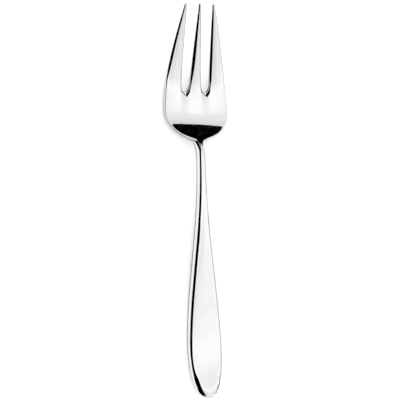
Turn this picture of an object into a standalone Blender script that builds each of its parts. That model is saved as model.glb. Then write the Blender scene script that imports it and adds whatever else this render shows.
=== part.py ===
"""Fish fork: one piece of polished stainless steel, lying on a table with its hollow side up.

x runs across the fork, y from the handle's end towards the tips and z up from the table. Sizes are metres.
One half of a coarse skin is laid out in rows along the fork and columns across it. The skin has an upper
sheet and a lower sheet, joined by a middle line wherever there is an edge. It is mirrored in x, and
subdivision rounds it.
"""

import math

import bmesh
import bpy
from mathutils import Matrix

# Lengths along the fork, one after the other
HANDLE_LENGTH = 0.1190  # handle's end to the base of the head
BASE_DEPTH = 0.0145  # rounded base of the head, up to its widest place
PALM_LENGTH = 0.0110  # widest place of the head to the roots of the slots
TINE_LENGTH = 0.0385  # roots of the slots to the tips

# Handle and neck
HANDLE_WIDTH = 0.0172
END_LENGTH = 0.0260  # rounded and turned-up end of the handle; it rests on the table where this ends
END_FULLNESS = 2.5  # 2 is an ellipse, more is squarer
END_THICKNESS = 0.0040
END_EDGE = 0.0026  # reach of the rounded edge onto the faces, at the handle's end
END_FALL = 0.76  # height left at that edge, as a share of half the thickness
END_LIFT = 0.0022
TAPER_LEAD = 0.0060  # the handle's taper begins this far inside its rounded end
HANDLE_CROWN = 0.045  # of the upper face: 0 is flat, 1 a half ellipse
HANDLE_BILGE = 0.25  # the handle is widest below mid thickness, by this share of half the thickness
BROAD_THICKNESS = 0.0054  # where the handle is thickest
BROAD_EDGE = 0.0024  # reach of the rounded edge there
BROAD_LEAD = 0.0530  # that place lies this far before the base of the head
NECK_LENGTH = 0.0130  # narrow neck, up to the base of the head
NECK_WIDTH = 0.0042
NECK_THICKNESS = 0.0048
NECK_CROWN = 0.42  # of its upper face
NECK_EDGE = 0.00095  # reach of the rounded edge onto the faces
NECK_EDGE_LEAD = 0.0210  # the edge is down to that this far before the base of the head
NECK_HEIGHT = 0.0073  # middle of the neck above the table
NECK_FILLET = 0.0040  # the neck begins to flare into the head this far before its base
NECK_FLARE = 0.0008  # by this much on each side at the base
RISE_LEAD = 0.0035  # the neck stops rising this far before the base of the head
HEEL_LEAD = 0.0012  # the neck begins to drop into the head this far before its flare
HEEL_LENGTH = 0.0174  # over which it drops
HEEL_SWEEP = 1.12  # 1 is an even drop, more drops later
THIN_LENGTH = 0.0117  # over which the neck thins to the head

# Head
HEAD_WIDTH = 0.0319
HEAD_THICKNESS = 0.0027
BASE_EDGE = 0.0020  # reach of the rounded edge onto the faces, at the base
RIM_EDGE = 0.0007  # and at the widest place
DISH_DEPTH = 0.0012  # rim above the middle

# Tines
ROOT_WIDTH = 0.0305  # over the outer tines, at the roots of the slots
TIP_SPREAD = 0.0152  # over the outer tines, at the tips
MID_TINE_ROOT = 0.0060
MID_TINE_TIP = 0.0014
OUTER_TINE_TIP = 0.0014
SLOT_SPAN = 0.0140  # over both slots and the middle tine, at the roots
TIP_THICKNESS = 0.0017
TINE_ARCH = 0.0005  # middle tine above the outer edges of the others
ROUND_AFTER = 0.0060  # from the roots of the slots to where the tines are fully rounded
TIP_HEIGHT = 0.0137  # middle of the tips above the table
RISE_LAG = 0.0055  # the metal begins to rise this far beyond the widest place
RISE_SWEEP = 1.12  # power of the curve along which the tines rise
DRAW_SWEEP = 1.32  # power of the curve along which the outer tines draw in
SLOT_ROUND = 0.0008  # depth of the slot's rounded root
SLOT_SCOOP = 0.0048  # the root slopes back by this much on the upper face

# Layout of the skin
COLUMNS = 9
SLOT_NEAR, SLOT_MIDDLE, SLOT_FAR, RIM = 2, 3, 4, 8
END_CORNER = math.radians(45)  # the skin's corner on the rounded end
END_STEPS = (math.radians(55), math.radians(68), math.radians(82))
END_MIDDLES = (0.27, 0.62)  # where the last two of those rows cross the middle line, along the end
EDGE_LIMIT = 0.8  # most of a narrow face that its rounded edge may take
HANDLE_SPANS = 8
BASE_ANGLES = tuple(math.radians(a) for a in (0, 15, 35, 54, 72, 90))
BASE_LAG = 0.0028  # rows of the base run ahead of the rim by this much on the middle line
BASE_SPREAD = 4  # rows over which the base's columns spread out to those of the tines
BASE_SHARPEN = 3  # rows over which its edge sharpens to the rim's
TINE_SHARES = (0.10, 0.25, 0.45, 0.65, 0.85)
TINE_DROPS = (-0.05, 0.22, 0.42, 0.0, 0.48, 0.17, -0.03, 0.07, 0.18)  # of the columns, on a rounded tine
RIM_HOLD = 0.17  # in the head the next column stays this close to the edge's own
NOSE_PULL = 0.19  # with these three the skin's edges come out half round
NOSE_PUSH = 0.095
NOSE_DROP = 0.73
SMOOTHING = 1

BASE_AT = HANDLE_LENGTH
BROAD_AT = BASE_AT - BROAD_LEAD
TAPER_START = END_LENGTH - TAPER_LEAD
TAPER_END = BASE_AT - NECK_LENGTH
RISE_END = BASE_AT - RISE_LEAD
FLARE_AT = BASE_AT - NECK_FILLET
HEEL_START = FLARE_AT - HEEL_LEAD
HEEL_END = HEEL_START + HEEL_LENGTH
WIDEST_AT = BASE_AT + BASE_DEPTH
ROOT_AT = WIDEST_AT + PALM_LENGTH
TIP_AT = ROOT_AT + TINE_LENGTH
RISE_START = WIDEST_AT + RISE_LAG


def mix(a, b, share):
    return a + (b - a) * share


def ease(share):
    """Smooth step from 0 to 1."""
    share = min(max(share, 0.0), 1.0)
    return share * share * (3.0 - 2.0 * share)


def ramp(y, start, end):
    return min(max((y - start) / (end - start), 0.0), 1.0)


def spine(y):
    """Height of the middle of the metal along the fork."""
    belly = thickness(END_LENGTH) / 2
    bowl = HEAD_THICKNESS / 2
    end = END_LIFT * (1.0 - ramp(y, 0.0, END_LENGTH)) ** 2
    handle = (NECK_HEIGHT - belly) * ease(ramp(y, END_LENGTH, RISE_END))
    heel = (NECK_HEIGHT - bowl) * ease(ramp(y, HEEL_START, HEEL_END)) ** HEEL_SWEEP
    tines = (TIP_HEIGHT - bowl) * ramp(y, RISE_START, TIP_AT) ** RISE_SWEEP
    return belly + end + handle - heel + tines


def thickness(y):
    if y < BROAD_AT:
        return mix(END_THICKNESS, BROAD_THICKNESS, ease(ramp(y, 0.0, BROAD_AT)))
    if y < HEEL_START:
        return mix(BROAD_THICKNESS, NECK_THICKNESS, ease(ramp(y, BROAD_AT, HEEL_START)))
    if y < WIDEST_AT:
        return mix(NECK_THICKNESS, HEAD_THICKNESS, ease(ramp(y, HEEL_START, HEEL_START + THIN_LENGTH)))
    return mix(HEAD_THICKNESS, TIP_THICKNESS, ramp(y, ROOT_AT, TIP_AT))


def tine_rim(y):
    """Half the width over the outer tines."""
    return mix(ROOT_WIDTH, TIP_SPREAD, ramp(y, ROOT_AT, TIP_AT) ** DRAW_SWEEP) / 2


def dish(x, y):
    """Rise of the hollow head towards its rim, which turns into a fall across the arched tines."""
    hollow = ease(ramp(y, HEEL_START, BASE_AT)) * DISH_DEPTH
    arched = ease(ramp(y, WIDEST_AT, ROOT_AT + PALM_LENGTH))
    return mix(hollow, -TINE_ARCH, arched) * (x / tine_rim(y)) ** 2


def handle_edge(y):
    """Reach of the rounded edge onto the faces of handle and neck."""
    if y < BROAD_AT:
        return mix(END_EDGE, BROAD_EDGE, ease(ramp(y, 0.0, BROAD_AT)))
    return mix(BROAD_EDGE, NECK_EDGE, ease(ramp(y, BROAD_AT, BASE_AT - NECK_EDGE_LEAD)))


def tine_rounding(y):
    """How far the tines' section has gone from flat faces to rounded ones."""
    return ease(ramp(y, ROOT_AT, ROOT_AT + ROUND_AFTER))


def end_point(angle, inset):
    """Place on the rounded end, or on a line inset from it; angle 0 is the very end."""
    power = 2.0 / END_FULLNESS
    x = (HANDLE_WIDTH / 2 - inset) * math.sin(angle) ** power
    y = inset + (END_LENGTH - inset) * (1.0 - math.cos(angle) ** power)
    return x, y


def even_shares(half, edge):
    """Columns evenly spread over a face, with the last one beside the edge."""
    inner = 1.0 - min(edge / half, EDGE_LIMIT)
    return [inner * i / (RIM - 1) for i in range(RIM)] + [1.0]


def tine_columns(y):
    """Columns at the roots of the slots and along the tines."""
    share = ramp(y, ROOT_AT, TIP_AT)
    near = mix(MID_TINE_ROOT, MID_TINE_TIP, share) / 2
    rim = tine_rim(y)
    far = mix(SLOT_SPAN / 2, TIP_SPREAD / 2 - OUTER_TINE_TIP, share)
    near_half = near / 2  # a tine keeps half of its width between its edges
    far_half = (rim - far) / 4
    near_edge = mix(min(RIM_EDGE, near_half), near_half, tine_rounding(y))
    far_edge = mix(min(RIM_EDGE, far_half), far_half, tine_rounding(y))
    return [
        0.0,
        near - near_edge,
        near,
        (near + far) / 2,
        far,
        far + far_edge,
        (far + rim) / 2,
        rim - far_edge,
        rim,
    ]


def crossing(half, middle_at, rim_at, shares, crown):
    """One row of the body: plan place of every column, and its share of the thickness above and below.

    The row bows from middle to rim, and only its upper face is crowned.
    """
    places = []
    for column, share in enumerate(shares):
        turn = math.radians(90) * column / COLUMNS
        out = mix(share, math.sin(turn), crown)
        drop = 1.0 - math.cos(turn)
        places.append((half * out, mix(middle_at, rim_at, out**2), 1.0 - crown * drop, 1.0))
    return places


def body_rows():
    """Rows from the handle's end to the widest place of the head."""
    shares = even_shares(HANDLE_WIDTH / 2, END_EDGE)
    rows = [[(*end_point(END_CORNER * share, 0.0), END_FALL, 1.0) for share in shares]]
    inset = [end_point(END_CORNER * share / shares[-2], END_EDGE) for share in shares[:-1]]
    rows.append([(*place, 1.0, 1.0) for place in inset])
    rows[-1].append((*end_point(END_STEPS[0], 0.0), END_FALL, 1.0))
    for angle, middle_at in zip(END_STEPS[1:], END_MIDDLES):
        x, y = end_point(angle, 0.0)
        middle_at *= END_LENGTH
        rows.append(crossing(x, middle_at, y, even_shares(x, handle_edge(y)), HANDLE_CROWN))
    for i in range(HANDLE_SPANS + 1):
        y = mix(END_LENGTH, HEEL_START, i / HANDLE_SPANS)
        taper = ease(ramp(y, TAPER_START, TAPER_END))
        half = mix(HANDLE_WIDTH, NECK_WIDTH, taper) / 2
        crown = mix(HANDLE_CROWN, NECK_CROWN, taper**3)
        rows.append(crossing(half, y, y, even_shares(half, handle_edge(y)), crown))
    half = NECK_WIDTH / 2
    rows.append(crossing(half, FLARE_AT, FLARE_AT, even_shares(half, NECK_EDGE), NECK_CROWN))
    root = tine_columns(ROOT_AT)
    swell = 6.0 / (4.0 + 2.0 * math.sin(BASE_ANGLES[-2]))  # makes up for what subdivision draws in
    for i, angle in enumerate(BASE_ANGLES):
        half = max(HEAD_WIDTH / 2 * swell * math.sin(angle), NECK_WIDTH / 2 + NECK_FLARE)
        rim_at = WIDEST_AT - BASE_DEPTH * math.cos(angle)
        middle_at = rim_at + BASE_LAG * math.sin(2.0 * angle)
        spread = ease(i / BASE_SPREAD)
        even = even_shares(half, mix(BASE_EDGE, RIM_EDGE, ease(i / BASE_SHARPEN)))
        shares = [mix(a, x / root[RIM], spread) for a, x in zip(even, root)]
        shares[RIM - 1] = even[RIM - 1]
        hold = mix(shares[RIM - 1], shares[RIM - 3], RIM_HOLD)
        shares[RIM - 2] = mix(shares[RIM - 2], hold, spread)
        rows.append(crossing(half, middle_at, rim_at, shares, NECK_CROWN * (1.0 - spread)))
    return rows


def tine_rows():
    """Rows from the roots of the slots to the tips."""
    stops = [mix(ROOT_AT, TIP_AT, share) for share in (0.0, *TINE_SHARES)]
    stops += [TIP_AT - MID_TINE_TIP / 2, TIP_AT]
    rows = []
    for y in stops:
        lifts = [1.0 - drop * tine_rounding(y) for drop in TINE_DROPS]
        rows.append([(x, y, lift, lift) for x, lift in zip(tine_columns(y), lifts)])
    return rows


class Skin:
    """Corner points of the coarse skin, made when a face first needs them."""

    def __init__(self):
        self.mesh = bmesh.new()
        self.rows = body_rows()
        self.root = len(self.rows)
        self.rows += tine_rows()
        self.tip = len(self.rows) - 1
        self.corners = {}

    def inside(self, row, column):
        """The place next to an edge, on the metal's side, or the place itself away from edges."""
        if row == 0:
            row += 1
        elif row == self.tip:
            row -= 1
        inward = {RIM: -1}
        if row >= self.root:
            inward.update({SLOT_NEAR: -1, SLOT_FAR: 1})
        return self.rows[row][column + inward.get(column, 0)]

    def place(self, row, column, level):
        x, y, above, below = self.rows[row][column]
        lift = above if level > 0 else -below * level
        beside = self.inside(row, column)
        if beside != self.rows[row][column]:
            outward = -NOSE_PULL if level else NOSE_PUSH
            x += (x - beside[0]) * outward
            y += (y - beside[1]) * outward
            lift *= NOSE_DROP
            if not level:
                level = -HANDLE_BILGE * (1.0 - ramp(y, HEEL_START, HEEL_END))
                lift = 1.0
        if row == self.root and column == SLOT_MIDDLE:
            y -= SLOT_ROUND + SLOT_SCOOP * (level + 1) / 2
        return x, y, spine(y) + dish(x, y) + level * lift * thickness(y) / 2

    def corner(self, row, column, level):
        key = row, column, level
        if key not in self.corners:
            self.corners[key] = self.mesh.verts.new(self.place(row, column, level))
        return self.corners[key]

    def quad(self, *keys):
        self.mesh.faces.new([self.corner(*key) for key in keys])

    def sheets(self, rows, columns):
        """Upper and lower faces."""
        for r in rows:
            for c in columns:
                for level in (1, -1):
                    self.quad((r, c, level), (r, c + 1, level), (r + 1, c + 1, level), (r + 1, c, level))

    def wall_along(self, rows, column):
        """Edge faces that run along the fork."""
        for r in rows:
            for level in (1, -1):
                self.quad((r, column, level), (r + 1, column, level), (r + 1, column, 0), (r, column, 0))

    def wall_across(self, row, columns):
        """Edge faces that run across the fork."""
        for c in columns:
            for level in (1, -1):
                self.quad((row, c, level), (row, c + 1, level), (row, c + 1, 0), (row, c, 0))

    def build(self):
        mid_tine = range(SLOT_NEAR)
        outer_tine = range(SLOT_FAR, RIM)
        tine = range(self.root, self.tip)
        self.sheets(range(self.root), range(RIM))
        self.sheets(tine, mid_tine)
        self.sheets(tine, outer_tine)
        self.wall_along(range(self.tip), RIM)
        self.wall_along(tine, SLOT_NEAR)
        self.wall_along(tine, SLOT_FAR)
        self.wall_across(0, range(RIM))
        self.wall_across(self.root, range(SLOT_NEAR, SLOT_FAR))
        self.wall_across(self.tip, mid_tine)
        self.wall_across(self.tip, outer_tine)
        bmesh.ops.recalc_face_normals(self.mesh, faces=self.mesh.faces)
        return self.mesh


def steel():
    material = bpy.data.materials.new("polished_steel")
    material.use_nodes = True
    shader = material.node_tree.nodes["Principled BSDF"]
    shader.inputs["Base Color"].default_value = (0.72, 0.72, 0.72, 1.0)
    shader.inputs["Metallic"].default_value = 1.0
    shader.inputs["Roughness"].default_value = 0.08
    return material


def rounded_points(body):
    bpy.context.view_layer.update()
    rounded = body.evaluated_get(bpy.context.evaluated_depsgraph_get())
    return [point.co.copy() for point in rounded.data.vertices]


def settle(body):
    """Tilts the fork until handle and head both touch the table, and centres it over the origin."""
    points = rounded_points(body)
    handle = min((p for p in points if p.y < HEEL_START), key=lambda p: p.z)
    head = min((p for p in points if p.y > HEEL_START), key=lambda p: p.z)
    tilt = math.atan2(head.z - handle.z, head.y - handle.y)
    body.data.transform(Matrix.Rotation(-tilt, 4, "X"))
    points = rounded_points(body)
    middle = (min(p.y for p in points) + max(p.y for p in points)) / 2
    body.data.transform(Matrix.Translation((0.0, -middle, -min(p.z for p in points))))


def fork():
    skin = Skin().build()
    mesh = bpy.data.meshes.new("fork")
    skin.to_mesh(mesh)
    skin.free()
    body = bpy.data.objects.new("fork", mesh)
    bpy.context.collection.objects.link(body)
    for face in mesh.polygons:
        face.use_smooth = True
    mirror = body.modifiers.new("other_half", "MIRROR")
    mirror.merge_threshold = 0.00001
    smooth = body.modifiers.new("rounding", "SUBSURF")
    smooth.levels = SMOOTHING
    smooth.render_levels = SMOOTHING
    mesh.materials.append(steel())
    settle(body)


def main():
    for old in list(bpy.data.objects):
        bpy.data.objects.remove(old)
    fork()


main()
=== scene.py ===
"""Fish fork of polished stainless steel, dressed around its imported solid.

The file is laid out as an add-on: sizes and finishes are properties, the fork and the stage are operators.
x runs across the fork, y from the handle's end towards the tips and z up from the table. Sizes are metres.
"""

import math

import bmesh
import bpy
from bpy.props import FloatProperty, FloatVectorProperty, IntProperty, PointerProperty
from mathutils import Matrix, Vector


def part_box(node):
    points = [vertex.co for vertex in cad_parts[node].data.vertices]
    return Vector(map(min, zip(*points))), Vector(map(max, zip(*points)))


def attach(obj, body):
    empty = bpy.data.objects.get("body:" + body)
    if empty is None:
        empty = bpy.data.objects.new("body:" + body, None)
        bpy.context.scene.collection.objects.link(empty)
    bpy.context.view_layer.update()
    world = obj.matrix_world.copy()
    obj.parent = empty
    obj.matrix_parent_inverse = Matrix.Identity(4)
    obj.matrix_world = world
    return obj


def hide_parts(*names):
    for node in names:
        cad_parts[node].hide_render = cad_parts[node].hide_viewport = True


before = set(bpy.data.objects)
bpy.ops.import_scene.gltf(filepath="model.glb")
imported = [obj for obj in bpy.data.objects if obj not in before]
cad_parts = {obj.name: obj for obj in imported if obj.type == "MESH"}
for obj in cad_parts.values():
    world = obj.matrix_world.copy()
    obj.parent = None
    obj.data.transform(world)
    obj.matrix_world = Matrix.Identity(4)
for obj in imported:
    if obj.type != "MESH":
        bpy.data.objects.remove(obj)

bl_info = {
    "name": "Fish fork",
    "version": (1, 0, 0),
    "blender": (4, 5, 0),
    "location": "3D View > Sidebar > Fish fork",
    "description": "Polished fish fork on a white table",
    "category": "Object",
}

NODE = "fork"
SLOT = "polished_steel"
WHITE = (1.0, 1.0, 1.0, 1.0)
BLACK = (0.0, 0.0, 0.0, 1.0)

# Columns of the half skin: both sides of a slot, its middle, and the outer edge
COLUMNS = 9
SLOT_NEAR, SLOT_MIDDLE, SLOT_FAR, RIM = 2, 3, 4, 8
END_CORNER = math.radians(45)  # the skin's corner on the rounded end
END_STEPS = (math.radians(55), math.radians(68), math.radians(82))
END_MIDDLES = (0.27, 0.62)  # where the last two of those rows cross the middle line, along the end
EDGE_LIMIT = 0.8  # most of a narrow face that its rounded edge may take
TINE_DROPS = (-0.05, 0.22, 0.42, 0.0, 0.48, 0.17, -0.03, 0.07, 0.18)  # of the columns, on a rounded tine
HANDLE_SPANS = 8
CROWN_LATE = 3  # power by which the crown grows later along the handle than the taper
BASE_ANGLES = tuple(math.radians(a) for a in (0, 15, 35, 54, 72, 90))
BASE_SPREAD = 4  # rows over which the base's columns spread out to those of the tines
BASE_SHARPEN = 3  # rows over which its edge sharpens to the rim's
BASE_LAG = 0.0028  # rows of the base run ahead of the rim by this much on the middle line
TINE_SHARES = (0.10, 0.25, 0.45, 0.65, 0.85)
RIM_HOLD = 0.17  # in the head the next column stays this close to the edge's own
NOSE_PULL = 0.19  # with these three the skin's edges come out half round
NOSE_PUSH = 0.095
NOSE_DROP = 0.73
SEAM_MERGE = 0.00001  # points of both halves this close on the middle line become one

# Traces on the steel: octaves of their noise, levels at which they begin and are full, and their weights
MARK_DETAIL = 4.0
MARK_LEVELS = (0.50, 0.64)
MARK_TONE = 0.5  # of the dull colour, under a mark or a scratch
SCRATCH_DETAIL = 0.0
SCRATCH_LEVELS = (0.74, 0.79)
SCRATCH_TURNS = tuple(math.radians(a) for a in (4, -17, 38, -64))
SCRATCH_SHARE = 0.4  # of a worn place's scratches, elsewhere
SCRATCH_RELIEF = 2.0  # depth of a scratch, in depths of the buffing lines
BUFF_DETAIL = 2.0
WAVE_DETAIL = 1.0
WAVE_RELIEF = 12.0  # height of the waves, in the same measure
# Sockets of a Mix node that mixes colours
MIX_SHARE, MIX_FIRST, MIX_SECOND, MIXED = 0, 6, 7, 2

# Light of the canopy along y, as a share of its peak
CANOPY_LIGHT = (
    (-1.40, 1.00),
    (-0.80, 0.77),
    (-0.55, 0.79),
    (-0.30, 0.88),
    (-0.05, 0.99),
    (0.03, 1.01),
    (0.12, 0.98),
    (0.24, 0.88),
    (0.34, 0.83),
    (0.60, 0.83),
    (1.00, 0.77),
    (1.45, 0.72),
)
# Its light is less by DIM at the left on the handle's side, fading out towards the right and the tips
DIM = 0.13
DIM_ACROSS = (0.30, 0.65)
DIM_ALONG = (-0.10, 0.0)
# Where the fork leaves the table at the neck, and where it comes back to it
NECK_OPENS = (-0.055, -0.025)
NECK_CLOSES = (0.024, 0.034)
# Where the canopy's bay begins to open, is open, begins to close and is closed
BAY_ALONG = (-0.15, 0.06, 0.25, 0.50)


def length(name, description, default):
    return FloatProperty(name=name, description=description, default=default, unit="LENGTH", precision=5)


def number(name, description, default):
    return FloatProperty(name=name, description=description, default=default, precision=3)


def angle(name, description, degrees):
    return FloatProperty(name=name, description=description, default=math.radians(degrees), subtype="ANGLE")


def colour(name, description, default):
    return FloatVectorProperty(name=name, description=description, default=default, size=3, subtype="COLOR")


class ForkSizes(bpy.types.PropertyGroup):
    """Sizes of the fork."""

    handle_length: length("Handle", "Handle's end to the base of the head", 0.1190)
    base_depth: length("Base", "Rounded base of the head, up to its widest place", 0.0145)
    palm_length: length("Palm", "Widest place of the head to the roots of the slots", 0.0110)
    tine_length: length("Tines", "Roots of the slots to the tips", 0.0385)
    handle_width: length("Handle width", "Width of the handle where it is broadest", 0.0172)
    end_length: length("End", "Rounded and turned-up end of the handle", 0.0260)
    end_fullness: number("End fullness", "2 is an ellipse, more is squarer", 2.5)
    end_thickness: length("End thickness", "Thickness of the metal at the handle's end", 0.0040)
    broad_thickness: length("Broad thickness", "Thickness of the handle where it is greatest", 0.0054)
    broad_lead: length("Broad lead", "The handle is thickest this far before the base", 0.0530)
    end_lift: length("End lift", "The handle's end is turned up by this much", 0.0022)
    taper_lead: length("Taper lead", "The taper begins this far inside the rounded end", 0.0060)
    end_edge: length("End edge", "Reach of the rounded edge onto the faces at the handle's end", 0.0026)
    end_fall: number("End fall", "Height left at that edge, as a share of the half thickness", 0.76)
    broad_edge: length("Broad edge", "Reach of the rounded edge where the handle is thickest", 0.0024)
    neck_edge: length("Neck edge", "Reach of the rounded edge onto the faces of the neck", 0.00095)
    neck_edge_lead: length("Edge lead", "The edge has the neck's rounding this far before the base", 0.0210)
    handle_bilge: number("Handle bilge", "Widest below mid thickness by this share of half of it", 0.25)
    handle_crown: number("Handle crown", "Of the upper face: 0 is flat, 1 a half ellipse", 0.045)
    neck_crown: number("Neck crown", "The same of the neck", 0.42)
    neck_length: length("Neck", "Narrow neck, up to the base of the head", 0.0130)
    neck_width: length("Neck width", "Width of the neck", 0.0042)
    neck_thickness: length("Neck thickness", "Thickness of the neck", 0.0048)
    neck_height: length("Neck height", "Middle of the neck above the table", 0.0073)
    neck_fillet: length("Neck fillet", "The neck begins to flare this far before the base", 0.0040)
    neck_flare: length("Neck flare", "Flare on each side at the base", 0.0008)
    rise_lead: length("Rise lead", "The neck stops rising this far before the base", 0.0035)
    heel_length: length("Heel length", "Length over which the heel falls to the head", 0.0174)
    heel_sweep: number("Heel sweep", "1 is an even fall, more falls later", 1.12)
    thin_length: length("Thinning", "Length over which the neck thins to the head", 0.0117)
    heel_lead: length("Heel lead", "The neck begins to drop this far before its flare", 0.0012)
    head_width: length("Head width", "Width of the head at its widest place", 0.0319)
    head_thickness: length("Head thickness", "Thickness of the metal in the head", 0.0027)
    base_edge: length("Base edge", "Reach of the rounded edge onto the faces at the base of the head", 0.0020)
    rim_edge: length("Rim edge", "Reach of the rounded edge onto the faces at the widest place", 0.0007)
    dish_depth: length("Dish", "Rim above the middle at the widest place", 0.0012)
    root_width: length("Root width", "Over the outer tines, at the roots of the slots", 0.0305)
    tip_spread: length("Tip spread", "Over the outer tines, at the tips", 0.0152)
    tine_arch: length("Tine arch", "Middle tine above the outer edges of the others", 0.0005)
    round_after: length("Rounding", "Slots' roots to where a tine's section is an ellipse", 0.0060)
    mid_tine_root: length("Middle tine root", "Width of the middle tine at the slots' roots", 0.0060)
    mid_tine_tip: length("Middle tine tip", "Width of the middle tine at its tip", 0.0014)
    outer_tine_tip: length("Outer tine tip", "Width of an outer tine at its tip", 0.0014)
    slot_span: length("Slot span", "Over both slots and the middle tine, at the roots", 0.0140)
    tip_thickness: length("Tip thickness", "Thickness of the metal at the tips", 0.0017)
    tip_height: length("Tip height", "Middle of the tips above the table", 0.0137)
    rise_lag: length("Rise lag", "The metal begins to rise this far beyond the widest place", 0.0055)
    rise_sweep: number("Rise sweep", "Power of the curve along which the tines rise", 1.12)
    draw_sweep: number("Draw sweep", "Power of the curve along which the outer tines draw in", 1.32)
    slot_round: length("Slot round", "Depth of the slot's rounded root", 0.0008)
    slot_scoop: length("Slot scoop", "The root slopes back by this much on the upper face", 0.0048)
    smoothing: IntProperty(
        name="Smoothing", description="Subdivision of the coarse skin", default=3, min=1, max=5
    )


class SteelFinish(bpy.types.PropertyGroup):
    """Finish of the steel."""

    base: colour("Steel", "Colour of the polished steel", (0.88, 0.88, 0.885))
    dull: colour("Dull steel", "Its colour under finger marks and where it is worn", (0.82, 0.815, 0.81))
    polish: number("Polish", "Roughness of the clean mirror", 0.035)
    mark_haze: number("Mark haze", "Roughness that a finger mark adds", 0.05)
    wear_haze: number("Wear haze", "Roughness that wear adds on the tips and the resting places", 0.09)
    scratch_haze: number("Scratch haze", "Roughness that a hairline scratch adds", 0.30)
    mark_size: length("Mark size", "Size of the finger marks", 0.0075)
    grip: length("Grip", "The handle is held up to this far from its end", 0.0850)
    worn_tips: length("Worn tips", "The tips are worn over this length", 0.0110)
    worn_sole: length("Worn sole", "The underside is worn up to this far above the table", 0.0006)
    scratch_width: length("Scratch width", "Width of a hairline scratch", 0.00007)
    scratch_length: length("Scratch length", "Length of a hairline scratch", 0.0070)
    buff_width: length("Buffing line", "Width of the lines that the buffing wheel leaves", 0.00011)
    buff_length: length("Buffing length", "Length of those lines", 0.0110)
    wave_size: length("Wave size", "Size of the polished surface's gentle waves", 0.0090)
    relief: length("Relief", "Depth of the buffing lines", 0.00000012)


class StageLook(bpy.types.PropertyGroup):
    """Table, lights and view."""

    roll: angle("Roll", "The view comes from this far to the left of straight above", 22.0)
    pitch: angle("Pitch", "The view comes from this far towards the handle", 6.0)
    turn: angle("Turn", "The fork is turned in the picture by this much", 2.3398)
    distance: length("Distance", "Camera to the middle of the fork", 1.0)
    view_width: length("View width", "Width of the picture at the middle of the fork", 0.18676)
    aside: length("Aside", "Picture's middle to the right of the fork's middle", 0.00132)
    above: length("Above", "Picture's middle above the fork's middle", 0.00089)
    table: number("Table", "Lightness of the table top", 0.90)
    lift: number("Table lift", "Added to the table's light where the camera sees it", 0.40)
    glint: number("Table glint", "Added to the table's light where the steel mirrors it", 0.20)
    under: number("Under glint", "The same where the steel's underside mirrors it", 0.18)
    # reach of the painted contact shade that the steel mirrors on the table, by the handle and under the
    # raised neck
    contact: length("Contact", "The fork's shade on the table reaches this far", 0.004)
    neck_contact: length("Neck contact", "The same under the raised neck", 0.0072)
    table_half: length("Table size", "Half the side of the table", 3.0)
    canopy_height: length("Canopy height", "Height of the white canopy over the table", 1.5)
    canopy_left: length("Canopy left", "Canopy's edge to the left of the fork", 0.37)
    canopy_slant: length("Canopy slant", "That edge draws in by this much towards the canopy's front", 0.67)
    canopy_bay: length("Canopy bay", "The same in its bay, where the canopy reaches further out", 0.68)
    canopy_tail: length("Canopy tail", "The same beyond the tips", 0.40)
    canopy_right: length("Canopy right", "Canopy's edge to the right of the fork", 4.0)
    canopy_front: length("Canopy front", "Canopy's edge beyond the handle", 2.5)
    canopy_back: length("Canopy back", "Canopy's edge beyond the tips", 1.70)
    canopy_corner: length("Canopy corner", "Where the canopy's left edge ends, beyond the tips", 1.15)
    canopy_peak: number("Canopy peak", "Light of the canopy where its share is 1", 1.11)
    flag_reach: length("Flag reach", "Lower edge of the left flag, out from the fork", 1.45)
    flag_foot: length("Flag foot", "Height of that edge, and of the lower edge beyond the tips", 0.42)
    flag_from: length("Flag left end", "Left-hand end of the flag beyond the tips", 0.42)
    flag_right: length("Flag right end", "Right-hand end of the flag beyond the tips", 1.8)
    flag_short: length("Short flag", "Height of the lower edge of the flag at the canopy's corner", 0.95)
    side_flag: length("Side flag", "The flag on the right stands this far out", 2.5)
    side_flag_height: length("Side flag height", "Height of the flag on the right", 0.55)
    side_flag_front: length("Side flag front", "Its end on the handle's side, from the fork's middle", 1.2)
    side_flag_back: length("Side flag back", "Its end on the tips' side, from the fork's middle", 0.5)
    front_flag_height: length("Front flag height", "Height of the flag beyond the handle", 0.45)
    flag_step: length("Flag step", "The left flag reaches the table up to this far before the middle", 0.80)


def mix(a, b, share):
    return a + (b - a) * share


def ease(share):
    """Smooth step from 0 to 1."""
    share = min(max(share, 0.0), 1.0)
    return share * share * (3.0 - 2.0 * share)


def ramp(y, start, end):
    return min(max((y - start) / (end - start), 0.0), 1.0)


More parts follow.
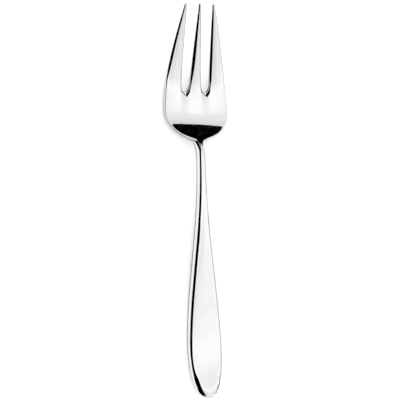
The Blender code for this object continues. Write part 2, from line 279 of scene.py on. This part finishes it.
class Skin:
    """Half of the fork's coarse skin: rows along the fork, columns across it, and sheets above and below."""

    def __init__(self, sizes):
        self.s = sizes
        self.base_at = sizes.handle_length
        self.taper_start = sizes.end_length - sizes.taper_lead
        self.taper_end = self.base_at - sizes.neck_length
        self.rise_end = self.base_at - sizes.rise_lead
        self.flare_at = self.base_at - sizes.neck_fillet
        self.heel_start = self.flare_at - sizes.heel_lead
        self.heel_end = self.heel_start + sizes.heel_length
        self.broad_at = self.base_at - sizes.broad_lead
        self.widest_at = self.base_at + sizes.base_depth
        self.root_at = self.widest_at + sizes.palm_length
        self.tip_at = self.root_at + sizes.tine_length
        self.rise_start = self.widest_at + sizes.rise_lag
        self.mesh = bmesh.new()
        self.corners = {}
        self.rows = self.body_rows()
        self.root = len(self.rows)
        self.rows += self.tine_rows()
        self.tip = len(self.rows) - 1

    def thickness(self, y):
        s = self.s
        if y < self.broad_at:
            return mix(s.end_thickness, s.broad_thickness, ease(ramp(y, 0.0, self.broad_at)))
        if y < self.heel_start:
            return mix(s.broad_thickness, s.neck_thickness, ease(ramp(y, self.broad_at, self.heel_start)))
        if y < self.widest_at:
            thinned = ease(ramp(y, self.heel_start, self.heel_start + s.thin_length))
            return mix(s.neck_thickness, s.head_thickness, thinned)
        return mix(s.head_thickness, s.tip_thickness, ramp(y, self.root_at, self.tip_at))

    def spine(self, y):
        """Height of the middle of the metal along the fork."""
        s = self.s
        belly = self.thickness(s.end_length) / 2
        bowl = s.head_thickness / 2
        end = s.end_lift * (1.0 - ramp(y, 0.0, s.end_length)) ** 2
        handle = (s.neck_height - belly) * ease(ramp(y, s.end_length, self.rise_end))
        heel = (s.neck_height - bowl) * ease(ramp(y, self.heel_start, self.heel_end)) ** s.heel_sweep
        tines = (s.tip_height - bowl) * ramp(y, self.rise_start, self.tip_at) ** s.rise_sweep
        return belly + end + handle - heel + tines

    def tine_rim(self, y):
        """Half the width over the outer tines."""
        share = ramp(y, self.root_at, self.tip_at)
        return mix(self.s.root_width, self.s.tip_spread, share**self.s.draw_sweep) / 2

    def dish(self, x, y):
        """Rise of the hollow head towards its rim, which turns into a fall across the arched tines."""
        hollow = ease(ramp(y, self.heel_start, self.base_at)) * self.s.dish_depth
        arched = ease(ramp(y, self.widest_at, self.root_at + self.s.palm_length))
        return mix(hollow, -self.s.tine_arch, arched) * (x / self.tine_rim(y)) ** 2

    def handle_edge(self, y):
        """Reach of the rounded edge onto the faces of handle and neck."""
        s = self.s
        if y < self.broad_at:
            return mix(s.end_edge, s.broad_edge, ease(ramp(y, 0.0, self.broad_at)))
        return mix(s.broad_edge, s.neck_edge, ease(ramp(y, self.broad_at, self.base_at - s.neck_edge_lead)))

    def end_point(self, turn, inset):
        """Place on the rounded end, or on a line inset from it; turn 0 is the very end."""
        power = 2.0 / self.s.end_fullness
        x = (self.s.handle_width / 2 - inset) * math.sin(turn) ** power
        y = inset + (self.s.end_length - inset) * (1.0 - math.cos(turn) ** power)
        return x, y

    @staticmethod
    def even_shares(half, edge):
        """Columns evenly spread over a face, with the last one beside the edge."""
        inner = 1.0 - min(edge / half, EDGE_LIMIT)
        return [inner * i / (RIM - 1) for i in range(RIM)] + [1.0]

    def tine_rounding(self, y):
        """How far the tines' section has gone from flat faces to an ellipse."""
        return ease(ramp(y, self.root_at, self.root_at + self.s.round_after))

    def tine_columns(self, y):
        """Columns at the roots of the slots and along the tines."""
        s = self.s
        share = ramp(y, self.root_at, self.tip_at)
        near = mix(s.mid_tine_root, s.mid_tine_tip, share) / 2
        rim = self.tine_rim(y)
        far = mix(s.slot_span / 2, s.tip_spread / 2 - s.outer_tine_tip, share)
        rounding = self.tine_rounding(y)
        near_edge = mix(min(s.rim_edge, near / 2), near / 2, rounding)
        far_edge = mix(min(s.rim_edge, (rim - far) / 4), (rim - far) / 4, rounding)
        middle = [0.0, near - near_edge, near, (near + far) / 2]
        return middle + [far, far + far_edge, (far + rim) / 2, rim - far_edge, rim]

    def crossing(self, half, middle_at, rim_at, shares, crown):
        """One row of the body: plan place of every column, and its share of the thickness above and below."""
        places = []
        for column, share in enumerate(shares):
            turn = math.radians(90) * column / COLUMNS
            out = mix(share, math.sin(turn), crown)
            drop = 1.0 - math.cos(turn)
            y = mix(middle_at, rim_at, out**2)
            places.append((half * out, y, 1.0 - crown * drop, 1.0))
        return places

    def body_rows(self):
        """Rows from the handle's end to the widest place of the head."""
        s = self.s
        half = s.handle_width / 2
        edge = self.handle_edge(0.0)
        shares = self.even_shares(half, edge)
        rows = [[(*self.end_point(END_CORNER * share, 0.0), s.end_fall, 1.0) for share in shares]]
        inset = [self.end_point(END_CORNER * share / shares[-2], edge) for share in shares[:-1]]
        rows.append([(*place, 1.0, 1.0) for place in inset])
        rows[-1].append((*self.end_point(END_STEPS[0], 0.0), s.end_fall, 1.0))
        for turn, middle_at in zip(END_STEPS[1:], END_MIDDLES):
            x, y = self.end_point(turn, 0.0)
            shares = self.even_shares(x, self.handle_edge(y))
            rows.append(self.crossing(x, middle_at * s.end_length, y, shares, s.handle_crown))
        for i in range(HANDLE_SPANS + 1):
            y = mix(s.end_length, self.heel_start, i / HANDLE_SPANS)
            taper = ease(ramp(y, self.taper_start, self.taper_end))
            half = mix(s.handle_width, s.neck_width, taper) / 2
            shares = self.even_shares(half, self.handle_edge(y))
            crown = mix(s.handle_crown, s.neck_crown, taper**CROWN_LATE)
            rows.append(self.crossing(half, y, y, shares, crown))
        half = s.neck_width / 2
        shares = self.even_shares(half, self.handle_edge(self.flare_at))
        rows.append(self.crossing(half, self.flare_at, self.flare_at, shares, s.neck_crown))
        root = self.tine_columns(self.root_at)
        swell = 6.0 / (4.0 + 2.0 * math.sin(BASE_ANGLES[-2]))  # makes up for what subdivision draws in
        for i, turn in enumerate(BASE_ANGLES):
            half = max(s.head_width / 2 * swell * math.sin(turn), s.neck_width / 2 + s.neck_flare)
            rim_at = self.widest_at - s.base_depth * math.cos(turn)
            middle_at = rim_at + BASE_LAG * math.sin(2.0 * turn)
            spread = ease(i / BASE_SPREAD)
            edge = mix(s.base_edge, s.rim_edge, ease(i / BASE_SHARPEN))
            even = self.even_shares(half, edge)
            shares = [mix(a, x / root[RIM], spread) for a, x in zip(even, root)]
            shares[RIM - 1] = even[RIM - 1]
            hold = mix(shares[RIM - 1], shares[RIM - 3], RIM_HOLD)
            shares[RIM - 2] = mix(shares[RIM - 2], hold, spread)
            rows.append(self.crossing(half, middle_at, rim_at, shares, s.neck_crown * (1.0 - spread)))
        return rows

    def tine_rows(self):
        """Rows from the roots of the slots to the tips."""
        stops = [mix(self.root_at, self.tip_at, share) for share in (0.0, *TINE_SHARES)]
        stops += [self.tip_at - self.s.mid_tine_tip / 2, self.tip_at]
        rows = []
        for y in stops:
            lifts = [1.0 - drop * self.tine_rounding(y) for drop in TINE_DROPS]
            rows.append([(x, y, lift, lift) for x, lift in zip(self.tine_columns(y), lifts)])
        return rows

    def inside(self, row, column):
        """The place next to an edge, on the metal's side, or the place itself away from edges."""
        if row == 0:
            row += 1
        elif row == self.tip:
            row -= 1
        inward = {RIM: -1}
        if row >= self.root:
            inward.update({SLOT_NEAR: -1, SLOT_FAR: 1})
        return self.rows[row][column + inward.get(column, 0)]

    def place(self, row, column, level):
        """Place of a corner: level 1 is the upper face, 0 the edge's middle and -1 the lower face."""
        x, y, above, below = self.rows[row][column]
        lift = above if level > 0 else -below * level
        beside = self.inside(row, column)
        if beside != self.rows[row][column]:
            outward = -NOSE_PULL if level else NOSE_PUSH
            x += (x - beside[0]) * outward
            y += (y - beside[1]) * outward
            lift *= NOSE_DROP
            if not level:
                level = -self.s.handle_bilge * (1.0 - ramp(y, self.heel_start, self.heel_end))
                lift = 1.0
        if row == self.root and column == SLOT_MIDDLE:
            y -= self.s.slot_round + self.s.slot_scoop * (level + 1) / 2
        return x, y, self.spine(y) + self.dish(x, y) + level * lift * self.thickness(y) / 2

    def corner(self, row, column, level):
        key = row, column, level
        if key not in self.corners:
            self.corners[key] = self.mesh.verts.new(self.place(row, column, level))
        return self.corners[key]

    def quad(self, *keys):
        self.mesh.faces.new([self.corner(*key) for key in keys])

    def sheets(self, rows, columns):
        """Upper and lower faces."""
        for r in rows:
            for c in columns:
                for level in (1, -1):
                    self.quad((r, c, level), (r, c + 1, level), (r + 1, c + 1, level), (r + 1, c, level))

    def wall_along(self, rows, column):
        """Edge faces that run along the fork."""
        for r in rows:
            for level in (1, -1):
                self.quad((r, column, level), (r + 1, column, level), (r + 1, column, 0), (r, column, 0))

    def wall_across(self, row, columns):
        """Edge faces that run across the fork."""
        for c in columns:
            for level in (1, -1):
                self.quad((row, c, level), (row, c + 1, level), (row, c + 1, 0), (row, c, 0))

    def build(self):
        mid_tine = range(SLOT_NEAR)
        outer_tine = range(SLOT_FAR, RIM)
        tine = range(self.root, self.tip)
        self.sheets(range(self.root), range(RIM))
        self.sheets(tine, mid_tine)
        self.sheets(tine, outer_tine)
        self.wall_along(range(self.tip), RIM)
        self.wall_along(tine, SLOT_NEAR)
        self.wall_along(tine, SLOT_FAR)
        self.wall_across(0, range(RIM))
        self.wall_across(self.root, range(SLOT_NEAR, SLOT_FAR))
        self.wall_across(self.tip, mid_tine)
        self.wall_across(self.tip, outer_tine)
        bmesh.ops.recalc_face_normals(self.mesh, faces=self.mesh.faces)
        return self.mesh


class Shade:
    """An output of a node tree. Arithmetic on it adds Math nodes."""

    def __init__(self, tree, socket=None):
        self.tree = tree
        self.socket = socket

    def node(self, kind, settings=None, inputs=None, output=0):
        """Any node: its settings first, then the values or links of its sockets."""
        made = self.tree.nodes.new(kind)
        for name, value in (settings or {}).items():
            if name == "stops":
                made.color_ramp.interpolation = "B_SPLINE"
                for position, level in value[1:-1]:
                    made.color_ramp.elements.new(position)
                for stop, (position, level) in zip(made.color_ramp.elements, value):
                    stop.position = position
                    stop.color = (level, level, level, 1.0)
            else:
                setattr(made, name, value)
        for name, value in (inputs or {}).items():
            if isinstance(value, Shade):
                self.tree.links.new(value.socket, made.inputs[name])
            else:
                made.inputs[name].default_value = value
        return Shade(self.tree, made.outputs[output] if made.outputs else None)

    def other(self, output):
        """Another output of the same node."""
        return Shade(self.tree, self.socket.node.outputs[output])

    def math(self, operation, a, b):
        return self.node("ShaderNodeMath", {"operation": operation}, {0: a, 1: b})

    def step(self, start, end):
        """Rises smoothly from 0 at start to 1 at end."""
        limits = {"Value": self, "From Min": start, "From Max": end}
        return self.node("ShaderNodeMapRange", {"interpolation_type": "SMOOTHSTEP"}, limits)

    def __add__(self, other):
        return self.math("ADD", self, other)

    def __radd__(self, other):
        return self.math("ADD", other, self)

    def __sub__(self, other):
        return self.math("SUBTRACT", self, other)

    def __rsub__(self, other):
        return self.math("SUBTRACT", other, self)

    def __mul__(self, other):
        return self.math("MULTIPLY", self, other)

    def __rmul__(self, other):
        return self.math("MULTIPLY", other, self)

    def __or__(self, other):
        """The greater of two."""
        return self.math("MAXIMUM", self, other)


def empty_material(name):
    """A material with only its output, and a handle on its tree."""
    material = bpy.data.materials.new(name)
    material.use_nodes = True
    material.node_tree.nodes.clear()
    return material, Shade(material.node_tree)


def close(tree, kind, shader):
    """Links a shader to the tree's output."""
    tree.node(kind, inputs={"Surface": shader})


def grain(tree, place, turn, width, run, detail):
    """Noise drawn out in one direction of the plan."""
    lie = {"Vector": place, "Rotation": (0.0, 0.0, turn), "Scale": (width, run, run)}
    lie = tree.node("ShaderNodeMapping", {"vector_type": "TEXTURE"}, lie)
    return tree.node("ShaderNodeTexNoise", inputs={"Vector": lie, "Scale": 1.0, "Detail": detail})


def steel_material(finish):
    """Mirror-polished steel with buffing lines, hairline scratches, finger marks and worn places."""
    material, tree = empty_material(SLOT)
    place = tree.node("ShaderNodeTexCoord", output="Object")
    along = tree.node("ShaderNodeSeparateXYZ", inputs={0: place}, output="Y")
    low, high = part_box(NODE)
    worn = along.step(high[1] - finish.worn_tips, high[1])
    worn = worn | (1.0 - along.other("Z").step(low[2], low[2] + finish.worn_sole))
    held = 1.0 - along.step(low[1] + finish.grip / 2, low[1] + finish.grip)
    marks = held * grain(tree, place, 0.0, finish.mark_size, finish.mark_size, MARK_DETAIL).step(*MARK_LEVELS)
    scratches = None
    for turn in SCRATCH_TURNS:
        lines = grain(tree, place, turn, finish.scratch_width, finish.scratch_length, SCRATCH_DETAIL)
        lines = lines.step(*SCRATCH_LEVELS)
        scratches = scratches | lines if scratches else lines
    scratches = scratches * (SCRATCH_SHARE + (1.0 - SCRATCH_SHARE) * worn)
    buffing = grain(tree, place, 0.0, finish.buff_width, finish.buff_length, BUFF_DETAIL)
    waves = grain(tree, place, 0.0, finish.wave_size, finish.wave_size, WAVE_DETAIL)
    dulled = MARK_TONE * (marks | scratches) | worn
    tone = {MIX_SHARE: dulled, MIX_FIRST: (*finish.base, 1.0), MIX_SECOND: (*finish.dull, 1.0)}
    tone = tree.node("ShaderNodeMix", {"data_type": "RGBA"}, tone, output=MIXED)
    haze = finish.mark_haze * marks + finish.wear_haze * worn
    haze = haze + finish.scratch_haze * scratches + finish.polish
    height = buffing + WAVE_RELIEF * waves - SCRATCH_RELIEF * scratches
    relief = tree.node("ShaderNodeBump", inputs={"Height": height, "Distance": finish.relief})
    inputs = {"Base Color": tone, "Metallic": 1.0, "Roughness": haze, "Normal": relief}
    close(tree, "ShaderNodeOutputMaterial", tree.node("ShaderNodeBsdfPrincipled", inputs=inputs))
    return material


def rounded(skin, smoothing):
    """The whole fork's mesh: the half skin mirrored and rounded."""
    half = bpy.data.meshes.new("half_skin")
    shell = skin.build()
    shell.to_mesh(half)
    shell.free()
    for face in half.polygons:
        face.use_smooth = True
    maker = bpy.data.objects.new("half_skin", half)
    bpy.context.scene.collection.objects.link(maker)
    mirror = maker.modifiers.new("other_half", "MIRROR")
    mirror.merge_threshold = SEAM_MERGE
    smooth = maker.modifiers.new("rounding", "SUBSURF")
    smooth.levels = smoothing
    bpy.context.view_layer.update()
    mesh = bpy.data.meshes.new_from_object(maker.evaluated_get(bpy.context.evaluated_depsgraph_get()))
    bpy.data.objects.remove(maker)
    bpy.data.meshes.remove(half)
    return mesh


def settle(mesh, heel):
    """Tilts the fork until handle and head both touch the table, and centres it over the origin."""
    points = [vertex.co for vertex in mesh.vertices]
    handle = min((p for p in points if p.y < heel), key=lambda p: p.z)
    head = min((p for p in points if p.y > heel), key=lambda p: p.z)
    tilt = math.atan2(head.z - handle.z, head.y - handle.y)
    mesh.transform(Matrix.Rotation(-tilt, 4, "X"))
    low = min(vertex.co.z for vertex in mesh.vertices)
    along = [vertex.co.y for vertex in mesh.vertices]
    mesh.transform(Matrix.Translation((0.0, -(min(along) + max(along)) / 2, -low)))


class ForkBody(bpy.types.Operator):
    """Shapes the fork and gives it its steel"""

    bl_idname = "fish_fork.body"
    bl_label = "Fork"

    def execute(self, context):
        sizes = context.scene.fork_sizes
        skin = Skin(sizes)
        mesh = rounded(skin, sizes.smoothing)
        mesh.name = "fork_body"
        settle(mesh, skin.heel_start)
        mesh.materials.append(steel_material(context.scene.steel_finish))
        body = bpy.data.objects.new("fork_body", mesh)
        context.scene.collection.objects.link(body)
        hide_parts(NODE)
        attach(body, "root")
        return {"FINISHED"}


def panel(name, pieces, material):
    """A stage panel of flat pieces, each through its own corners."""
    corners, faces = [], []
    for piece in pieces:
        faces.append(range(len(corners), len(corners) + len(piece)))
        corners += piece
    mesh = bpy.data.meshes.new(name)
    mesh.from_pydata(corners, [], faces)
    mesh.materials.append(material)
    made = bpy.data.objects.new(name, mesh)
    bpy.context.scene.collection.objects.link(made)
    return made


def table_material(look):
    """Pale table that comes out white where it is lit, and is open from below.

    The steel mirrors it with a painted contact shade close to the fork, darkened by ambient occlusion, which
    draws the fork's outline.
    """
    material, tree = empty_material("table_top")
    path = tree.node("ShaderNodeLightPath")
    mirrored = path.other("Is Glossy Ray") | path.other("Is Transmission Ray")
    place = tree.node("ShaderNodeTexCoord", output="Object")
    along = tree.node("ShaderNodeSeparateXYZ", inputs={0: place}, output="Y")
    raised = along.step(*NECK_OPENS) * (1.0 - along.step(*NECK_CLOSES))
    # occlusion near the fork, for the painted contact shade below; the longer reach is under the raised neck
    near = tree.node("ShaderNodeAmbientOcclusion", inputs={"Distance": look.contact}, output="AO")
    far = tree.node("ShaderNodeAmbientOcclusion", inputs={"Distance": look.neck_contact}, output="AO")
    open_sky = near + (far - near) * raised
    through = path.other("Transparent Depth").step(0.0, 1.0)  # 1 for a view from below the table
    # painted contact shade: in the steel's mirror the table is mixed towards black where occlusion finds the
    # fork close, and its glint is held back there
    shade = mirrored * (1.0 - through) * (1.0 - open_sky * open_sky * open_sky)
    glow = (look.lift * path) | (look.glint * (mirrored - shade)) | (look.under * mirrored * through)
    pale = tree.node("ShaderNodeBsdfDiffuse", inputs={"Color": (look.table, look.table, look.table, 1.0)})
    dark = tree.node("ShaderNodeBsdfDiffuse", inputs={"Color": BLACK})
    lit = tree.node("ShaderNodeMixShader", inputs={0: shade, 1: pale, 2: dark})
    lift = tree.node("ShaderNodeEmission", inputs={"Color": glow})
    top = tree.node("ShaderNodeAddShader", inputs={0: lit, 1: lift})
    below = tree.node("ShaderNodeNewGeometry", output="Backfacing")
    clear = tree.node("ShaderNodeBsdfTransparent")
    both = tree.node("ShaderNodeMixShader", inputs={0: below, 1: top, 2: clear})
    close(tree, "ShaderNodeOutputMaterial", both)
    return material


def canopy_material(look):
    """White cloth, brightest over the fork and far out beyond the handle."""
    material, tree = empty_material("canopy_cloth")
    place = tree.node("ShaderNodeTexCoord", output="Object")
    across = tree.node("ShaderNodeSeparateXYZ", inputs={0: place})
    along = across.other("Y")
    dim = DIM * (1.0 - across.step(*DIM_ACROSS)) * (1.0 - along.step(*DIM_ALONG))
    start, span = CANOPY_LIGHT[0][0], CANOPY_LIGHT[-1][0] - CANOPY_LIGHT[0][0]
    stops = [((y - start) / span, level) for y, level in CANOPY_LIGHT]
    light = tree.node("ShaderNodeValToRGB", {"stops": stops}, {0: (along - start) * (1.0 / span)})
    inputs = {"Color": light * (1.0 - dim), "Strength": look.canopy_peak}
    close(tree, "ShaderNodeOutputMaterial", tree.node("ShaderNodeEmission", inputs=inputs))
    return material


def flag_material():
    """Black cloth."""
    material, tree = empty_material("flag_cloth")
    close(tree, "ShaderNodeOutputMaterial", tree.node("ShaderNodeEmission", inputs={"Color": BLACK}))
    return material


def add_world(scene):
    """Even white surroundings."""
    scene.world = bpy.data.worlds.new("surroundings")
    scene.world.use_nodes = True
    scene.world.node_tree.nodes.clear()
    tree = Shade(scene.world.node_tree)
    close(tree, "ShaderNodeOutputWorld", tree.node("ShaderNodeBackground", inputs={"Color": WHITE}))


def wall(a, b, top, foot):
    """Corners of an upright piece over a line of the plan."""
    return [(*a, top), (*b, top), (*b, foot), (*a, foot)]


def add_panels(look):
    """Table, canopy, and the dark flags at the canopy's edges and low at the left, front and right."""
    half, high, low = look.table_half, look.canopy_height, look.flag_foot
    front, back, right = -look.canopy_front, look.canopy_back, look.canopy_right
    out, side = -look.flag_reach, look.side_flag
    bay = zip((look.canopy_left, look.canopy_bay, look.canopy_bay, look.canopy_tail), BAY_ALONG)
    edge = [(look.canopy_slant - look.canopy_left, front)]
    edge += [(-x, y) for x, y in bay]
    edge.append((-look.canopy_tail, look.canopy_corner))
    corner = (look.flag_from, back)
    square = [(-half, -half, 0.0), (half, -half, 0.0), (half, half, 0.0), (-half, half, 0.0)]
    panel("table", [square], table_material(look))
    outline = [(right, front), (right, back), corner, *reversed(edge)]
    canopy = panel("canopy", [[(x, y, high) for x, y in outline]], canopy_material(look))
    feet = [(out, y) for x, y in edge[:-1]] + [(out, back)]
    spans = zip(edge, edge[1:], feet, feet[1:])
    strips = [[(*a, high), (*b, high), (*d, low), (*c, low)] for a, b, c, d in spans]
    strips.append(wall(edge[-1], corner, high, look.flag_short))
    strips.append(wall(corner, (look.flag_right, back), high, low))
    strips.append(wall((out, front), (out, -look.flag_step), low, 0.0))
    strips.append(wall((out, front), (side, front), look.front_flag_height, 0.0))
    ends = (side, -look.side_flag_front), (side, look.side_flag_back)
    strips.append(wall(*ends, look.side_flag_height, 0.0))
    flags = panel("flags", strips, flag_material())
    canopy.visible_camera = False
    flags.visible_camera = False
    flags.visible_diffuse = False
    flags.visible_shadow = False


def add_camera(look):
    """The view from the left of straight above, with the tips upwards."""
    right = Vector((math.cos(look.roll), 0.0, math.sin(look.roll)))
    back = Vector((0.0, -math.sin(look.pitch), 0.0))
    back += math.cos(look.pitch) * Vector((-math.sin(look.roll), 0.0, math.cos(look.roll)))
    up = back.cross(right)
    turn = Matrix.Rotation(-look.turn, 3, back)
    right, up = turn @ right, turn @ up
    axes = Matrix((right, up, back)).transposed().to_4x4()
    lens = bpy.data.cameras.new("camera")
    lens.angle = 2.0 * math.atan(look.view_width / 2 / look.distance)
    camera = bpy.data.objects.new("camera", lens)
    camera.matrix_world = axes
    camera.location = right * look.aside + up * look.above + back * look.distance
    bpy.context.scene.collection.objects.link(camera)
    bpy.context.scene.camera = camera


class ForkStage(bpy.types.Operator):
    """Sets the table, the lights and the camera"""

    bl_idname = "fish_fork.stage"
    bl_label = "Stage"

    def execute(self, context):
        look = context.scene.stage_look
        add_world(context.scene)
        add_panels(look)
        add_camera(look)
        context.scene.view_settings.view_transform = "Standard"
        return {"FINISHED"}


class ForkPanel(bpy.types.Panel):
    """Lists the sizes, the finish and the operators"""

    bl_idname = "VIEW3D_PT_fish_fork"
    bl_label = "Fish fork"
    bl_space_type = "VIEW_3D"
    bl_region_type = "UI"
    bl_category = "Fish fork"

    def draw(self, context):
        for group in (context.scene.fork_sizes, context.scene.steel_finish, context.scene.stage_look):
            box = self.layout.box()
            for name in group.bl_rna.properties.keys():
                if name not in ("rna_type", "name"):
                    box.prop(group, name)
        self.layout.operator(ForkBody.bl_idname)
        self.layout.operator(ForkStage.bl_idname)


CLASSES = (ForkSizes, SteelFinish, StageLook, ForkBody, ForkStage, ForkPanel)


def register():
    for cls in CLASSES:
        bpy.utils.register_class(cls)
    bpy.types.Scene.fork_sizes = PointerProperty(type=ForkSizes)
    bpy.types.Scene.steel_finish = PointerProperty(type=SteelFinish)
    bpy.types.Scene.stage_look = PointerProperty(type=StageLook)


def unregister():
    del bpy.types.Scene.stage_look
    del bpy.types.Scene.steel_finish
    del bpy.types.Scene.fork_sizes
    for cls in reversed(CLASSES):
        bpy.utils.unregister_class(cls)


def main():
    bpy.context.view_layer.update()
    register()
    bpy.ops.fish_fork.body()
    bpy.ops.fish_fork.stage()


if __name__ == "__main__":
    main()
